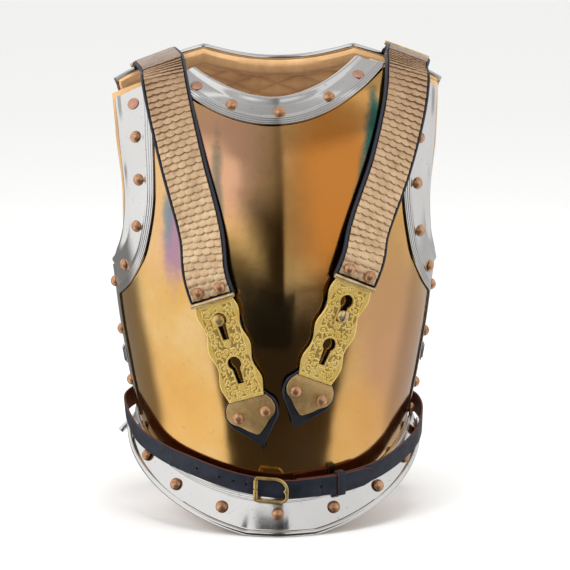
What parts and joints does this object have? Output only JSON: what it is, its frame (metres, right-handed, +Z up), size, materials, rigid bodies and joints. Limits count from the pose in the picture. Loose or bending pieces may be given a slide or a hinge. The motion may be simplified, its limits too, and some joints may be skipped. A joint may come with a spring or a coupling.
{
  "type": "cavalry cuirass with breastplate, backplate and scaled shoulder straps",
  "caption": "Brass-faced cuirass with steel borders, quilted lining, scaled leather shoulder straps with keyhole plates, and a buckled waist belt, standing on its flanges.",
  "frame": {"origin": "on the surface that the cuirass stands on, under the middle of its bounding box", "axes": "+Z up, -Y out of the breastplate (its front), +X to the right as seen from the front"},
  "size_m": [0.3504, 0.3148, 0.4803],
  "materials": {
    "brass_plate": "polished sheet brass, tarnished in patches",
    "polished_steel": "mirror polished steel",
    "quilted_lining": "tan quilted linen, matt",
    "copper": "copper coloured domed rivets, worn bright on top",
    "strap_hide": "black leather, smooth with worn edges",
    "belt_hide": "blue black leather with a reddish brown edge line",
    "scale_brass": "pressed brass, satin and darkened in the hollows",
    "gilt_brass": "gilt brass, chased with leaf scrolls"
  },
  "bodies": {
    "root": {"breastplate": "brass_plate", "backplate": "brass_plate", "lining_front": "quilted_lining", "lining_back": "quilted_lining", "front_neck_border": "polished_steel", "back_neck_border": "polished_steel", "front_flange": "polished_steel", "back_flange": "polished_steel", "front_arm_border_l": "polished_steel", "front_arm_border_r": "polished_steel", "back_arm_border_l": "polished_steel", "back_arm_border_r": "polished_steel", "front_side_strip_l": "polished_steel", "front_side_strip_r": "polished_steel", "side_hook_l": "polished_steel", "side_hook_r": "polished_steel", "neck_rivet_1": "copper", "neck_rivet_2": "copper", "neck_rivet_3": "copper", "flange_rivet_1": "copper", "flange_rivet_2": "copper", "flange_rivet_3": "copper", "flange_rivet_4": "copper", "flange_rivet_5": "copper", "flange_rivet_6": "copper", "flange_rivet_7": "copper", "flange_rivet_8": "copper", "flange_rivet_9": "copper", "arm_rivet_l_1": "copper", "arm_rivet_l_2": "copper", "arm_rivet_l_3": "copper", "arm_rivet_l_4": "copper", "arm_rivet_r_1": "copper", "arm_rivet_r_2": "copper", "arm_rivet_r_3": "copper", "arm_rivet_r_4": "copper", "scale_rivet_l_1": "copper", "scale_rivet_l_2": "copper", "scale_rivet_r_1": "copper", "scale_rivet_r_2": "copper", "tip_rivet_l_1": "copper", "tip_rivet_l_2": "copper", "tip_rivet_r_1": "copper", "tip_rivet_r_2": "copper", "strap_leather_l": "strap_hide", "strap_leather_r": "strap_hide", "belt_tail_half": "belt_hide", "belt_buckle_half": "belt_hide", "belt_keeper": "belt_hide", "strap_scales_l": "scale_brass", "strap_scales_r": "scale_brass", "tip_plate_l": "scale_brass", "tip_plate_r": "scale_brass", "strap_back_plate_l": "scale_brass", "strap_back_plate_r": "scale_brass", "buckle_frame": "scale_brass", "keyhole_plate_l": "gilt_brass", "keyhole_plate_r": "gilt_brass", "strap_stud_l": "gilt_brass", "strap_stud_r": "gilt_brass"}
  },
  "joints": []
}
